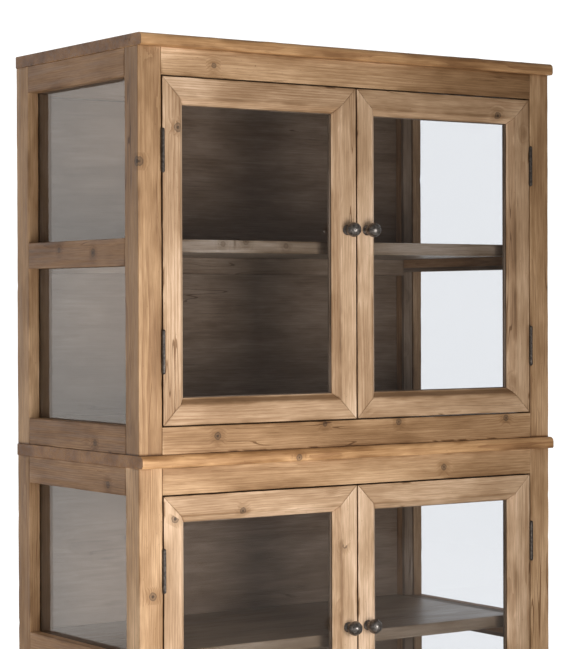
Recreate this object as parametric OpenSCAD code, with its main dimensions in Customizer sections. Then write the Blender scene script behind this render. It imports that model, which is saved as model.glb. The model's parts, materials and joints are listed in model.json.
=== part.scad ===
// Glazed pantry cabinet: two matching modules, one on the other, each with a pair of framed
// glass doors, glass sides, a panelled back and one shelf. Millimetres.
// +Z is up and the doors face -Y. The origin is on the floor, under the middle of the box
// that holds the whole cabinet, from the front of the knobs to the back of the posts.

/* [Carcass] */
// Width over the corner posts
carcass_w = 1200; // [900:10:1500]
// Depth from the face of the front posts to the back of the rear posts
carcass_d = 580; // [450:10:720]
// Height of one module, from the foot of its posts to the top of its top board
module_h = 940; // [780:10:1200]
// Side of the square corner posts
post_s = 60; // [50:1:76]

/* [Top boards] */
// Thickness of a top board
board_t = 28; // [25:1:40]
// How far the board stands past the front posts
board_front_over = 18; // [15:1:40]
// How far the board stands past each side
board_side_over = 2; // [1:1:30]
// Radius of the upper front edge
nose_r = 14; // [8:1:15]
// Radius of the lower front edge
nose_low_r = 5; // [2:1:7]

/* [Rails] */
// Height of the front rails, above and below the doors
front_rail_h = 62; // [50:1:90]
// Height of the top and bottom side rails
side_rail_h = 64; // [50:1:90]
// Height of the middle side rail
mid_rail_h = 62; // [50:1:90]
// Height of the top back rail
back_top_rail_h = 70; // [50:1:90]
// Height of the middle back rail, which carries the shelf
back_mid_rail_h = 42; // [36:1:70]
// Height of the bottom back rail
back_bottom_rail_h = 64; // [50:1:90]
// Thickness of the tenons
tenon_t = 16; // [10:1:18]
// Shoulder above and below each tenon
tenon_shoulder = 12; // [12:1:15]
// Gap round a tenon in its mortise
tenon_clear = 0.2; // [0.1:0.1:0.5]

/* [Glass and back] */
// Thickness of every pane
glass_t = 4; // [3:1:6]
// Width of the rebates that hold panes and back panels
rebate_w = 10; // [6:1:11]
// Gap round a pane or panel in its rebate
pane_clear = 1; // [0.5:0.5:2]
// From the back of the posts to the inner face of the back panels
back_panel_in = 26; // [12:1:36]
// Thickness of the back panels
panel_t = 6; // [4:1:10]

/* [Shelf and floor] */
// Height of the shelf's top above the foot of its module
shelf_top_z = 486; // [380:2:600]
// Thickness of the shelf
shelf_t = 30; // [26:1:40]
// From the face of the front posts to the front of the shelf
shelf_setback = 75; // [70:1:140]
// Thickness of the floor board
floor_t = 16; // [14:1:22]
// How far the floor board lies under the side rebates
floor_under_rebate = 4; // [2:1:10]

/* [Doors] */
// Thickness of the door frames
door_t = 34; // [30:0.2:41]
// Gap round each door, and between the pair
door_gap = 3; // [2:0.5:4]
// Width of the flat face of the frame
stile_face_w = 46; // [40:1:60]
// Width of the sloping edge towards the glass
bevel_w = 15; // [10:1:20]
// Depth of the sloping edge
bevel_d = 16; // [10:1:18]
// Depth of the square step behind the slope, where the glass seats
lip_d = 2; // [1:1:4]
// How far the glazing beads stand into the opening
bead_proud = 2; // [0:1:4]
// Chamfer on the beads
bead_chamfer = 5; // [2:1:6]
// Glue line between the mitred pieces of a frame, and between the beads
glue_line = 0.1; // [0.05:0.05:0.3]

/* [Hinges] */
// Height of the hinge leaves
leaf_h = 92; // [70:1:110]
// Width of a leaf, from the face of the door
leaf_w = 25; // [20:1:28]
// Thickness of a leaf
leaf_t = 2; // [1.6:0.2:2.6]
// Gap between the two leaves of a closed hinge
leaf_gap = 0.4; // [0.2:0.1:0.6]
// Radius of the knuckles
knuckle_r = 4.3; // [4:0.1:5]
// Radius of the hinge pin
pin_r = 2.5; // [2:0.1:3]
// Running clearance between pin and knuckle
pin_run = 0.05; // [0.02:0.01:0.1]
// Gap between one knuckle and the next
knuckle_gap = 0.3; // [0.2:0.1:0.6]
// Gap between the knuckles and the face of the cabinet
knuckle_clear = 0.2; // [0.2:0.1:1]
// From the end of a door to the middle of its hinge
hinge_inset = 166; // [110:2:220]

/* [Screws] */
// Radius of the hinge screws
screw_r = 2; // [1.5:0.1:2.2]
// Radius of their countersunk heads
screw_head_r = 3.6; // [3:0.1:4]
// Length of the hinge screws
screw_l = 22; // [16:1:26]
// Distance between the screws of one leaf
screw_pitch = 34; // [24:1:40]
// Clearance round a screw
screw_clear = 0.1; // [0.05:0.05:0.2]

/* [Knobs] */
// Radius of the ball
knob_ball_r = 17.5; // [14:0.5:22]
// From the face of the door to the middle of the ball
knob_out = 29; // [26:1:40]
// Radius of the foot of the knob
knob_foot_r = 12.5; // [9:0.5:14]
// Radius of the neck of the knob
knob_neck_r = 8.5; // [6:0.5:9]
// From the top of the door to the knob
knob_drop = 335; // [250:5:450]
// From the meeting edge of the door to the knob
knob_in = 27.5; // [20:0.5:34]
// Radius of the screw that holds the knob
knob_screw_r = 2.4; // [2:0.1:3]

/* [Catches] */
// Width of the magnetic catch
catch_w = 44; // [36:1:56]
// Height of the catch
catch_h = 13; // [10:1:16]
// Depth of the catch
catch_d = 14; // [10:1:20]
// From the middle of the cabinet to the near end of the catch
catch_in = 22; // [12:1:60]
// Thickness of the strike plate
strike_t = 1.2; // [1:0.1:1.6]
// Gap between the closed catch and its plate
catch_gap = 0.2; // [0.1:0.1:0.5]

/* [Dowels and feet] */
// Radius of the joint dowels
dowel_r = 4; // [3:0.5:5]
// Length of the joint dowels, half in each piece
dowel_l = 30; // [24:1:36]
// Radius of the pegs that locate the upper module
peg_r = 5; // [4:0.5:6]
// Depth of a peg in each module
peg_depth = 18; // [12:1:20]
// From the outer faces of a post to the middle of its peg
peg_in = 16; // [12:1:18]
// Clearance round dowels and pegs
dowel_clear = 0.1; // [0.05:0.05:0.3]
// Radius of the floor glides
glide_r = 12; // [9:1:20]
// Thickness of the floor glides
glide_t = 4; // [3:1:8]
// Radius of the nail of a glide
glide_nail_r = 1.5; // [1:0.1:2]
// Depth of the nail of a glide
glide_nail_l = 16; // [10:1:22]

/* [Hidden] */
$fn = 64;
pine = [0.62, 0.46, 0.31];
pine_light = [0.72, 0.56, 0.40];
pine_dark = [0.48, 0.36, 0.26];
panel_brown = [0.40, 0.31, 0.24];
iron = [0.16, 0.15, 0.15];
steel = [0.60, 0.60, 0.60];
clear = [0.80, 0.88, 0.90, 0.35];
beech = [0.80, 0.66, 0.48];
black = [0.10, 0.10, 0.10];

eps = 0.01;
half_w = carcass_w / 2;
inner_w = carcass_w - 2 * post_s;
half_inner = inner_w / 2;
post_h = module_h - board_t;
inner_back = carcass_d - post_s;
panel_face = carcass_d - back_panel_in;
knob_reach = knob_out + knob_ball_r;
y_front = (knob_reach - carcass_d) / 2;

// The tenons of two rails meet in a post, with this much wood left between them
tenons_apart = 2;
tenon_l = (post_s - tenon_t) / 2 - tenons_apart;

// Side panes stand in the middle of the posts
side_glass_in = (post_s - glass_t) / 2;
mid_rail_z = shelf_top_z - mid_rail_h;
side_top_z = post_h - side_rail_h;
lower_pane = [side_rail_h, mid_rail_z];
upper_pane = [shelf_top_z, side_top_z];

// Heights of the back: the middle rail is under the shelf
shelf_z = shelf_top_z - shelf_t;
back_mid_z = shelf_z - back_mid_rail_h;
back_top_z = post_h - back_top_rail_h;
lower_panel = [back_bottom_rail_h, back_mid_z];
upper_panel = [shelf_z, back_top_z];

floor_top_z = side_rail_h - rebate_w - floor_under_rebate;
floor_dowel_z = floor_top_z - floor_t / 2;
shelf_dowel_z = shelf_top_z - max(shelf_t / 2, rebate_w + dowel_r + 1);
// From the ends of a joint to its first and last dowel
dowel_margin = 45;

door_w = (inner_w - 3 * door_gap) / 2;
door_h = post_h - 2 * front_rail_h - 2 * door_gap;
sight_w = stile_face_w + bevel_w;
glass_face = bevel_d + lip_d;
// The mitres are cut to just past the inner edge of the beads
mitre_reach = sight_w + bead_proud + 1;
hinge_heights = [hinge_inset, door_h - hinge_inset];

barrel_out = knuckle_r + knuckle_clear;
knuckles = 5;
knuckle_h = leaf_h / knuckles;
leaf_x = leaf_gap / 2;
leaf_recess = leaf_gap / 2 + leaf_t - door_gap / 2;
leaf_start = knuckle_clear + 0.1;
// Places of the three screws across a leaf, as shares of its width
screw_shares = [0.4, 0.68, 0.4];
screw_ys = leaf_w * screw_shares;

// The strike plate is smaller than its catch
catch_y = door_t + strike_t + catch_gap;
strike_h = 0.85 * catch_h;
strike_w = 0.75 * catch_w;

// ---- Places ----

// A module's own frame: x from the middle, y from the front posts' face, z from their feet
module at_level(level)
{
    translate([0, y_front, glide_t + level * module_h])
        children();
}

// side is -1 for the left, as drawn, and 1 for the right, mirrored
module on_side(side)
{
    mirror([side > 0 ? 1 : 0, 0, 0])
        children();
}

module both_sides()
{
    for (side = [-1, 1])
        on_side(side)
            children();
}

// A left door's own frame: x from its hinged edge, y from its face, z from its bottom
module at_door(level, side)
{
    at_level(level)
        on_side(side)
            translate([-half_inner + door_gap, 0, front_rail_h + door_gap])
                children();
}

// The axis of a left hinge, from the door's own frame
module at_hinge(height)
{
    translate([-door_gap / 2, -barrel_out, height])
        children();
}

// ---- Joints between the wooden pieces ----

// Tenon of a rail along x, centred on the depth y_mid
module tenon_x(z, h, y_mid, clear_by)
{
    t = tenon_t + 2 * clear_by;
    l = inner_w + 2 * (tenon_l + clear_by);
    translate([-l / 2, y_mid - t / 2, z + tenon_shoulder - clear_by])
        cube([l, t, h - 2 * (tenon_shoulder - clear_by)]);
}

// Tenon of a left side rail along y
module tenon_y(z, h, clear_by)
{
    t = tenon_t + 2 * clear_by;
    l = inner_back - post_s + 2 * (tenon_l + clear_by);
    translate([-half_w + (post_s - t) / 2, post_s - tenon_l - clear_by,
               z + tenon_shoulder - clear_by])
        cube([t, l, h - 2 * (tenon_shoulder - clear_by)]);
}

// Rebate round a left side pane, open to the inside of the cabinet
module side_pocket(span)
{
    translate([-half_w + side_glass_in, post_s - rebate_w, span[0] - rebate_w])
        cube([post_s - side_glass_in + eps, inner_back - post_s + 2 * rebate_w,
              span[1] - span[0] + 2 * rebate_w]);
}

// Rebate round a back panel, open to the back
module back_pocket(span)
{
    translate([-half_inner - rebate_w, panel_face, span[0] - rebate_w])
        cube([inner_w + 2 * rebate_w, back_panel_in + eps, span[1] - span[0] + 2 * rebate_w]);
}

module side_pockets()
{
    side_pocket(lower_pane);
    side_pocket(upper_pane);
}

module back_pockets()
{
    back_pocket(lower_panel);
    back_pocket(upper_panel);
}

// Middle of each dowel along the depth, between y0 and y1
function dowel_ys(y0, y1) = [for (i = [0:2]) y0 + dowel_margin + i * (y1 - y0 - 2 * dowel_margin) / 2];

module dowel(clear_by)
{
    cylinder(r = dowel_r + clear_by, h = dowel_l + 2 * clear_by, center = true);
}

// Dowels between the left side rails and the ends of the shelf and the floor board
module end_dowels(clear_by)
{
    for (y = dowel_ys(shelf_setback, inner_back))
        translate([-half_inner, y, shelf_dowel_z])
            rotate([0, 90, 0])
                dowel(clear_by);
    for (y = dowel_ys(post_s, inner_back))
        translate([-half_inner, y, floor_dowel_z])
            rotate([0, 90, 0])
                dowel(clear_by);
}

// Dowels between the left posts and the top board
module top_dowels(clear_by)
{
    for (y = [post_s / 2, carcass_d - post_s / 2])
        translate([-half_w + post_s / 2, y, post_h])
            dowel(clear_by);
}

// Pegs between the lower top board and the left upper posts, drawn round z = 0
module pegs(clear_by)
{
    for (y = [peg_in, carcass_d - peg_in])
        translate([-half_w + peg_in, y, 0])
            cylinder(r = peg_r + clear_by, h = 2 * (peg_depth + clear_by), center = true);
}

// ---- Carcass pieces, for the left side ----

// Board with a rounded front edge, its underside at z = 0
module board_profile()
{
    translate([nose_r - board_front_over, 0])
        square([carcass_d + board_front_over - nose_r, board_t]);
    translate([-board_front_over, nose_low_r])
        square([nose_r, board_t - nose_r - nose_low_r]);
    translate([nose_low_r - board_front_over, 0])
        square([nose_r, nose_low_r + eps]);
    translate([nose_r - board_front_over, board_t - nose_r])
        circle(r = nose_r);
    translate([nose_low_r - board_front_over, nose_low_r])
        circle(r = nose_low_r);
}

module top_board(level)
{
    color(pine)
        difference() {
            translate([-half_w - board_side_over, 0, post_h])
                rotate([90, 0, 90])
                    linear_extrude(carcass_w + 2 * board_side_over)
                        board_profile();
            both_sides()
                top_dowels(dowel_clear);
            if (level == 0)
                translate([0, 0, module_h])
                    both_sides()
                        pegs(dowel_clear);
        }
}

// Everything that is cut out of the left posts
module post_cuts(level)
{
    tenon_y(0, side_rail_h, tenon_clear);
    tenon_y(mid_rail_z, mid_rail_h, tenon_clear);
    tenon_y(side_top_z, side_rail_h, tenon_clear);
    side_pockets();
    top_dowels(dowel_clear);
    if (level == 1)
        pegs(dowel_clear);
    if (level == 0)
        glides(screw_clear);
}

module front_post(level, side)
{
    color(pine)
        on_side(side)
            difference() {
                translate([-half_w, 0, 0])
                    cube([post_s, post_s, post_h]);
                post_cuts(level);
                tenon_x(0, front_rail_h, post_s / 2, tenon_clear);
                tenon_x(post_h - front_rail_h, front_rail_h, post_s / 2, tenon_clear);
                translate([-half_inner + door_gap, 0, front_rail_h + door_gap])
                    for (height = hinge_heights)
                        at_hinge(height)
                            post_hinge_cut();
            }
}

module rear_post(level, side)
{
    color(pine_dark)
        on_side(side)
            difference() {
                translate([-half_w, inner_back, 0])
                    cube([post_s, post_s, post_h]);
                post_cuts(level);
                back_pockets();
                tenon_x(0, back_bottom_rail_h, carcass_d - post_s / 2, tenon_clear);
                tenon_x(back_mid_z, back_mid_rail_h, carcass_d - post_s / 2, tenon_clear);
                tenon_x(back_top_z, back_top_rail_h, carcass_d - post_s / 2, tenon_clear);
            }
}

// Rail along x between the posts, its front face at depth y
module rail_x(z, h, y)
{
    translate([-half_inner, y, z])
        cube([inner_w, post_s, h]);
    tenon_x(z, h, y + post_s / 2, 0);
}

module front_top_rail()
{
    color(pine_light)
        rail_x(post_h - front_rail_h, front_rail_h, 0);
}

module front_bottom_rail()
{
    color(pine_light)
        rail_x(0, front_rail_h, 0);
}

// Rail along y between the left posts
module side_rail(z, h)
{
    difference() {
        union() {
            translate([-half_w, post_s, z])
                cube([post_s, inner_back - post_s, h]);
            tenon_y(z, h, 0);
        }
        side_pockets();
        end_dowels(dowel_clear);
    }
}

module side_rails()
{
    color(pine)
        both_sides() {
            side_rail(0, side_rail_h);
            side_rail(mid_rail_z, mid_rail_h);
            side_rail(side_top_z, side_rail_h);
        }
}

module back_rails()
{
    color(pine_dark)
        difference() {
            union() {
                rail_x(0, back_bottom_rail_h, inner_back);
                rail_x(back_mid_z, back_mid_rail_h, inner_back);
                rail_x(back_top_z, back_top_rail_h, inner_back);
            }
            back_pockets();
        }
}

module back_panel(span)
{
    edge = rebate_w - pane_clear;
    translate([-half_inner - edge, panel_face, span[0] - edge])
        cube([inner_w + 2 * edge, panel_t, span[1] - span[0] + 2 * edge]);
}

module back_panels()
{
    color(panel_brown) {
        back_panel(lower_panel);
        back_panel(upper_panel);
    }
}

module floor_board()
{
    color(pine_dark)
        difference() {
            translate([-half_inner, post_s, floor_top_z - floor_t])
                cube([inner_w, inner_back - post_s, floor_t]);
            both_sides()
                end_dowels(dowel_clear);
        }
}

module shelf()
{
    color(pine)
        difference() {
            translate([-half_inner, shelf_setback, shelf_z])
                cube([inner_w, panel_face - shelf_setback, shelf_t]);
            both_sides()
                end_dowels(dowel_clear);
        }
}

module side_pane(span)
{
    edge = rebate_w - pane_clear;
    translate([-half_w + side_glass_in, post_s - edge, span[0] - edge])
        cube([glass_t, inner_back - post_s + 2 * edge, span[1] - span[0] + 2 * edge]);
}

module side_glass()
{
    color(clear)
        both_sides() {
            side_pane(lower_pane);
            side_pane(upper_pane);
        }
}

// Four strips that fill the rebate behind one side pane, flush with the posts and rails
module pane_beads(span)
{
    x = -half_w + side_glass_in + glass_t;
    t = post_s - side_glass_in - glass_t;
    l = inner_back - post_s + 2 * rebate_w;
    for (z = [span[0] - rebate_w, span[1]])
        translate([x, post_s - rebate_w, z])
            cube([t, l, rebate_w]);
    for (y = [post_s - rebate_w, inner_back])
        translate([x, y, span[0] + glue_line])
            cube([t, rebate_w, span[1] - span[0] - 2 * glue_line]);
}

module side_beads()
{
    color(pine_dark)
        both_sides() {
            pane_beads(lower_pane);
            pane_beads(upper_pane);
        }
}

// ---- Door pieces, for a left door ----

// Section of the frame: across from the outer edge, and back from the face
function frame_section() = [
    [0, 0], [stile_face_w, 0], [sight_w, bevel_d], [sight_w, glass_face],
    [sight_w - rebate_w, glass_face], [sight_w - rebate_w, door_t], [0, door_t]
];

// Section of a glazing bead, in the same way
function bead_section() = [
    [sight_w - rebate_w, glass_face + glass_t], [sight_w + bead_proud, glass_face + glass_t],
    [sight_w + bead_proud, door_t - bead_chamfer],
    [sight_w + bead_proud - bead_chamfer, door_t], [sight_w - rebate_w, door_t]
];

function turned(points) = [for (p = points) [p[1], p[0]]];

// Part of the door's plane between one edge and the two mitres at its ends
module mitre_upright()
{
    translate([0, door_t + 1, 0])
        rotate([90, 0, 0])
            linear_extrude(door_t + 2)
                polygon([[0, glue_line], [mitre_reach, mitre_reach + glue_line],
                         [mitre_reach, door_h - mitre_reach - glue_line],
                         [0, door_h - glue_line]]);
}

module mitre_level()
{
    translate([0, door_t + 1, 0])
        rotate([90, 0, 0])
            linear_extrude(door_t + 2)
                polygon([[0, 0], [door_w, 0], [door_w - mitre_reach, mitre_reach],
                         [mitre_reach, mitre_reach]]);
}

// Upright with this section at the hinged edge, mitred at both ends
module upright(section)
{
    intersection() {
        linear_extrude(door_h)
            polygon(section);
        mitre_upright();
    }
}

// Level piece with this section at the bottom edge, mitred at both ends
module level_piece(section)
{
    intersection() {
        rotate([90, 0, 90])
            linear_extrude(door_w)
                polygon(turned(section));
        mitre_level();
    }
}

module four_sided(section)
{
    upright(section);
    translate([door_w, 0, 0])
        mirror([1, 0, 0])
            upright(section);
    level_piece(section);
    translate([0, 0, door_h])
        mirror([0, 0, 1])
            level_piece(section);
}

module door_frame(level, side)
{
    color(pine_light)
        at_door(level, side)
            difference() {
                four_sided(frame_section());
                for (height = hinge_heights)
                    at_hinge(height)
                        door_hinge_cut();
                at_knob()
                    cylinder(r = knob_screw_r + screw_clear, h = 3 * door_t, center = true);
            }
}

module door_glass(level, side)
{
    edge = sight_w - rebate_w + pane_clear;
    color(clear)
        at_door(level, side)
            translate([edge, glass_face, edge])
                cube([door_w - 2 * edge, glass_t, door_h - 2 * edge]);
}

module door_beads(level, side)
{
    color(pine_dark)
        at_door(level, side)
            four_sided(bead_section());
}

// ---- Knobs ----

// The knob's own frame: z runs out of the door
module at_knob()
{
    translate([door_w - knob_in, 0, door_h - knob_drop])
        rotate([90, 0, 0])
            children();
}

module knob(level, side)
{
    foot_t = 3;
    screw_into_knob = 14;
    head_t = 3;
    color(iron)
        at_door(level, side)
            at_knob() {
                difference() {
                    union() {
                        cylinder(r = knob_foot_r, h = foot_t);
                        translate([0, 0, foot_t])
                            cylinder(r1 = knob_foot_r, r2 = knob_neck_r, h = foot_t);
                        cylinder(r = knob_neck_r, h = knob_out);
                        translate([0, 0, knob_out])
                            sphere(r = knob_ball_r);
                    }
                    translate([0, 0, -eps])
                        cylinder(r = knob_screw_r + screw_clear, h = screw_into_knob + 1);
                }
                translate([0, 0, -door_t])
                    cylinder(r = knob_screw_r, h = door_t + screw_into_knob);
                translate([0, 0, -door_t - head_t])
                    cylinder(r = 2 * knob_screw_r, h = head_t);
            }
}

// ---- Hinges, round the axis of a left hinge ----

// One knuckle with its arm, as high as the given span, its leaf on the side of the door
module knuckle(z0, z1, arm)
{
    translate([0, 0, z0])
        difference() {
            union() {
                cylinder(r = knuckle_r, h = z1 - z0);
                translate([arm > 0 ? leaf_x : -leaf_x - leaf_t, 0, 0])
                    cube([leaf_t, barrel_out + leaf_start + eps, z1 - z0]);
            }
            translate([0, 0, -1])
                cylinder(r = pin_r + pin_run, h = z1 - z0 + 2);
        }
}

// Countersunk screw at one place of a leaf: arm is 1 into the door and -1 into the post
module leaf_screw(i, arm, clear_by)
{
    translate([arm * leaf_x, barrel_out + screw_ys[i], (i - 1) * screw_pitch])
        rotate([0, arm * 90, 0]) {
            translate([0, 0, -clear_by])
                cylinder(r1 = screw_head_r + clear_by, r2 = screw_r + clear_by,
                         h = leaf_t + clear_by);
            cylinder(r = screw_r + clear_by, h = screw_l + clear_by);
        }
}

module leaf_screws(arm, clear_by)
{
    for (i = [0:2])
        leaf_screw(i, arm, clear_by);
}

// Leaf with its knuckles: the post's leaf has the odd ones, and the door's the even ones
module leaf(arm)
{
    difference() {
        union() {
            translate([arm > 0 ? leaf_x : -leaf_x - leaf_t, barrel_out + leaf_start, -leaf_h / 2])
                cube([leaf_t, leaf_w - leaf_start, leaf_h]);
            for (i = [0:knuckles - 1])
                if ((i % 2 == 0) == (arm < 0))
                    knuckle(-leaf_h / 2 + i * knuckle_h + (i > 0 ? knuckle_gap / 2 : 0),
                            -leaf_h / 2 + (i + 1) * knuckle_h
                            - (i < knuckles - 1 ? knuckle_gap / 2 : 0), arm);
        }
        leaf_screws(arm, screw_clear);
    }
}

// Recess for a leaf in the wood, open at the face, with its screw holes
module leaf_recess_cut(arm)
{
    wood = leaf_x + leaf_t - leaf_recess;
    translate([arm > 0 ? wood - eps : -leaf_x - leaf_t, barrel_out - 1, -leaf_h / 2])
        cube([leaf_recess + eps, leaf_w + 1, leaf_h]);
    leaf_screws(arm, screw_clear);
}

module post_hinge_cut()
{
    leaf_recess_cut(-1);
}

module door_hinge_cut()
{
    leaf_recess_cut(1);
}

// Pin with a domed cap on each end
module hinge_pin()
{
    cylinder(r = pin_r, h = leaf_h, center = true);
    for (end = [0, 1])
        mirror([0, 0, end])
            translate([0, 0, leaf_h / 2])
                rotate_extrude()
                    intersection() {
                        circle(r = knuckle_r);
                        square([knuckle_r, knuckle_r]);
                    }
}

module door_hinge_leaves(level, side)
{
    color(iron)
        at_door(level, side)
            for (height = hinge_heights)
                at_hinge(height) {
                    leaf(1);
                    leaf_screws(1, 0);
                }
}

// The places of all eight hinges
module at_hinges()
{
    for (level = [0, 1], side = [-1, 1], height = hinge_heights)
        at_door(level, side)
            at_hinge(height)
                children();
}

module hinge_post_leaves()
{
    color(iron)
        at_hinges()
            leaf(-1);
}

module hinge_pins()
{
    color(iron)
        at_hinges()
            hinge_pin();
}

module hinge_post_screws()
{
    color(steel)
        at_hinges()
            leaf_screws(-1, 0);
}

// ---- Catches ----

module magnetic_catches()
{
    color(black)
        for (level = [0, 1])
            at_level(level)
                both_sides()
                    translate([-catch_in - catch_w, catch_y, post_h - front_rail_h - catch_h])
                        cube([catch_w, catch_d, catch_h]);
}

// Steel plate on the back of the door, in front of its catch
module strike(level, side)
{
    color(steel)
        at_level(level)
            on_side(side)
                translate([-catch_in - (catch_w + strike_w) / 2, door_t,
                           post_h - front_rail_h - door_gap - strike_h])
                    cube([strike_w, strike_t, strike_h]);
}

// ---- Dowels, pegs and feet ----

module joint_dowels()
{
    color(beech)
        for (level = [0, 1])
            at_level(level)
                both_sides() {
                    end_dowels(0);
                    top_dowels(0);
                }
}

module stacking_pegs()
{
    color(beech)
        at_level(1)
            both_sides()
                pegs(0);
}

// Nail-on glides under the left posts, below z = 0, with their nails in the wood
module glides(clear_by)
{
    for (y = [post_s / 2, carcass_d - post_s / 2])
        translate([-half_w + post_s / 2, y, 0]) {
            cylinder(r = glide_nail_r + clear_by, h = glide_nail_l + clear_by);
            translate([0, 0, -glide_t])
                cylinder(r = glide_r, h = glide_t);
        }
}

module floor_glides()
{
    color(black)
        at_level(0)
            both_sides()
                glides(0);
}

// ---- Nodes ----

module lower_top_board() { at_level(0) top_board(0); }
module lower_post_front_left() { at_level(0) front_post(0, -1); }
module lower_post_front_right() { at_level(0) front_post(0, 1); }
module lower_post_rear_left() { at_level(0) rear_post(0, -1); }
module lower_post_rear_right() { at_level(0) rear_post(0, 1); }
module lower_front_top_rail() { at_level(0) front_top_rail(); }
module lower_front_bottom_rail() { at_level(0) front_bottom_rail(); }
module lower_side_rails() { at_level(0) side_rails(); }
module lower_back_rails() { at_level(0) back_rails(); }
module lower_back_panels() { at_level(0) back_panels(); }
module lower_floor_board() { at_level(0) floor_board(); }
module lower_shelf() { at_level(0) shelf(); }
module lower_side_glass() { at_level(0) side_glass(); }
module lower_side_beads() { at_level(0) side_beads(); }
module upper_top_board() { at_level(1) top_board(1); }
module upper_post_front_left() { at_level(1) front_post(1, -1); }
module upper_post_front_right() { at_level(1) front_post(1, 1); }
module upper_post_rear_left() { at_level(1) rear_post(1, -1); }
module upper_post_rear_right() { at_level(1) rear_post(1, 1); }
module upper_front_top_rail() { at_level(1) front_top_rail(); }
module upper_front_bottom_rail() { at_level(1) front_bottom_rail(); }
module upper_side_rails() { at_level(1) side_rails(); }
module upper_back_rails() { at_level(1) back_rails(); }
module upper_back_panels() { at_level(1) back_panels(); }
module upper_floor_board() { at_level(1) floor_board(); }
module upper_shelf() { at_level(1) shelf(); }
module upper_side_glass() { at_level(1) side_glass(); }
module upper_side_beads() { at_level(1) side_beads(); }
module lower_left_door_frame() { door_frame(0, -1); }
module lower_left_door_glass() { door_glass(0, -1); }
module lower_left_door_beads() { door_beads(0, -1); }
module lower_left_knob() { knob(0, -1); }
module lower_left_hinge_leaves() { door_hinge_leaves(0, -1); }
module lower_left_strike() { strike(0, -1); }
module lower_right_door_frame() { door_frame(0, 1); }
module lower_right_door_glass() { door_glass(0, 1); }
module lower_right_door_beads() { door_beads(0, 1); }
module lower_right_knob() { knob(0, 1); }
module lower_right_hinge_leaves() { door_hinge_leaves(0, 1); }
module lower_right_strike() { strike(0, 1); }
module upper_left_door_frame() { door_frame(1, -1); }
module upper_left_door_glass() { door_glass(1, -1); }
module upper_left_door_beads() { door_beads(1, -1); }
module upper_left_knob() { knob(1, -1); }
module upper_left_hinge_leaves() { door_hinge_leaves(1, -1); }
module upper_left_strike() { strike(1, -1); }
module upper_right_door_frame() { door_frame(1, 1); }
module upper_right_door_glass() { door_glass(1, 1); }
module upper_right_door_beads() { door_beads(1, 1); }
module upper_right_knob() { knob(1, 1); }
module upper_right_hinge_leaves() { door_hinge_leaves(1, 1); }
module upper_right_strike() { strike(1, 1); }

lower_top_board();
lower_post_front_left();
lower_post_front_right();
lower_post_rear_left();
lower_post_rear_right();
lower_front_top_rail();
lower_front_bottom_rail();
lower_side_rails();
lower_back_rails();
lower_back_panels();
lower_floor_board();
lower_shelf();
lower_side_glass();
lower_side_beads();
upper_top_board();
upper_post_front_left();
upper_post_front_right();
upper_post_rear_left();
upper_post_rear_right();
upper_front_top_rail();
upper_front_bottom_rail();
upper_side_rails();
upper_back_rails();
upper_back_panels();
upper_floor_board();
upper_shelf();
upper_side_glass();
upper_side_beads();
lower_left_door_frame();
lower_left_door_glass();
lower_left_door_beads();
lower_left_knob();
lower_left_hinge_leaves();
lower_left_strike();
lower_right_door_frame();
lower_right_door_glass();
lower_right_door_beads();
lower_right_knob();
lower_right_hinge_leaves();
lower_right_strike();
upper_left_door_frame();
upper_left_door_glass();
upper_left_door_beads();
upper_left_knob();
upper_left_hinge_leaves();
upper_left_strike();
upper_right_door_frame();
upper_right_door_glass();
upper_right_door_beads();
upper_right_knob();
upper_right_hinge_leaves();
upper_right_strike();
hinge_post_leaves();
hinge_pins();
hinge_post_screws();
magnetic_catches();
joint_dowels();
stacking_pegs();
floor_glides();
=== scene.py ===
# %% [markdown]
# # A pantry cabinet in two glazed modules
#
# Two modules of reclaimed pine stand one on the other, each with a pair of framed glass doors,
# glass sides, a panelled back and a shelf. The CAD model already fixes every size and joint, and
# this notebook gives each piece its wood, glass and iron. So the first step is to load that
# model as a frame that nothing here may move.

# %% Load the frame
import json
import math

import bpy
import numpy as np
from mathutils import Matrix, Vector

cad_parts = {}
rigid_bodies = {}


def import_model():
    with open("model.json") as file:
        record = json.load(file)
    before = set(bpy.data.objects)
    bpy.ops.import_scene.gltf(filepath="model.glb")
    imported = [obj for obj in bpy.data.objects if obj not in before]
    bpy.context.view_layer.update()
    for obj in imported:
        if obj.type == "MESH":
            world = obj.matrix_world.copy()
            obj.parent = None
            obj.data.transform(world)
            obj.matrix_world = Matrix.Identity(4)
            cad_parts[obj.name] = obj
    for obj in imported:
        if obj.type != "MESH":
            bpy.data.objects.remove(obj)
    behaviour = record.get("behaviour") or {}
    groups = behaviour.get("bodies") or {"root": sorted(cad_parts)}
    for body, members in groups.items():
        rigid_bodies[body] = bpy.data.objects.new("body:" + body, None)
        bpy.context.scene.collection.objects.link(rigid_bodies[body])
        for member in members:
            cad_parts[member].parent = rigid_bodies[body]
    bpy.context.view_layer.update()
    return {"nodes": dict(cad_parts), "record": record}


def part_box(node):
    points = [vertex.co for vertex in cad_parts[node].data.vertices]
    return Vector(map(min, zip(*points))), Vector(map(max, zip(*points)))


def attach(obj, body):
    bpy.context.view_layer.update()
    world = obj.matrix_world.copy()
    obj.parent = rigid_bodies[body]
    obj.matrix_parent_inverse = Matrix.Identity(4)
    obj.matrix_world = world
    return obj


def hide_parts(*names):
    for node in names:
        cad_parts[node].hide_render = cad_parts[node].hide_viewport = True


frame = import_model()

# %% [markdown]
# ## The camera
#
# A long lens set well back keeps the uprights nearly parallel, as furniture is usually shown.
# The camera stands left of the cabinet, a little above its middle, and looks at it about 34
# degrees from square on. Three Euler angles could place it. Three unit vectors are clearer:
# forward from the two angles, right and up from cross products.

# %% Set up the camera
TURN, TILT, ROLL = 0.6005, -0.0088, -0.0032     # radians
CAMERA_AT = (-3.0466, -4.4087, 1.2779)
LENS_MM, SENSOR_MM = 120.17, 36.0



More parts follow.
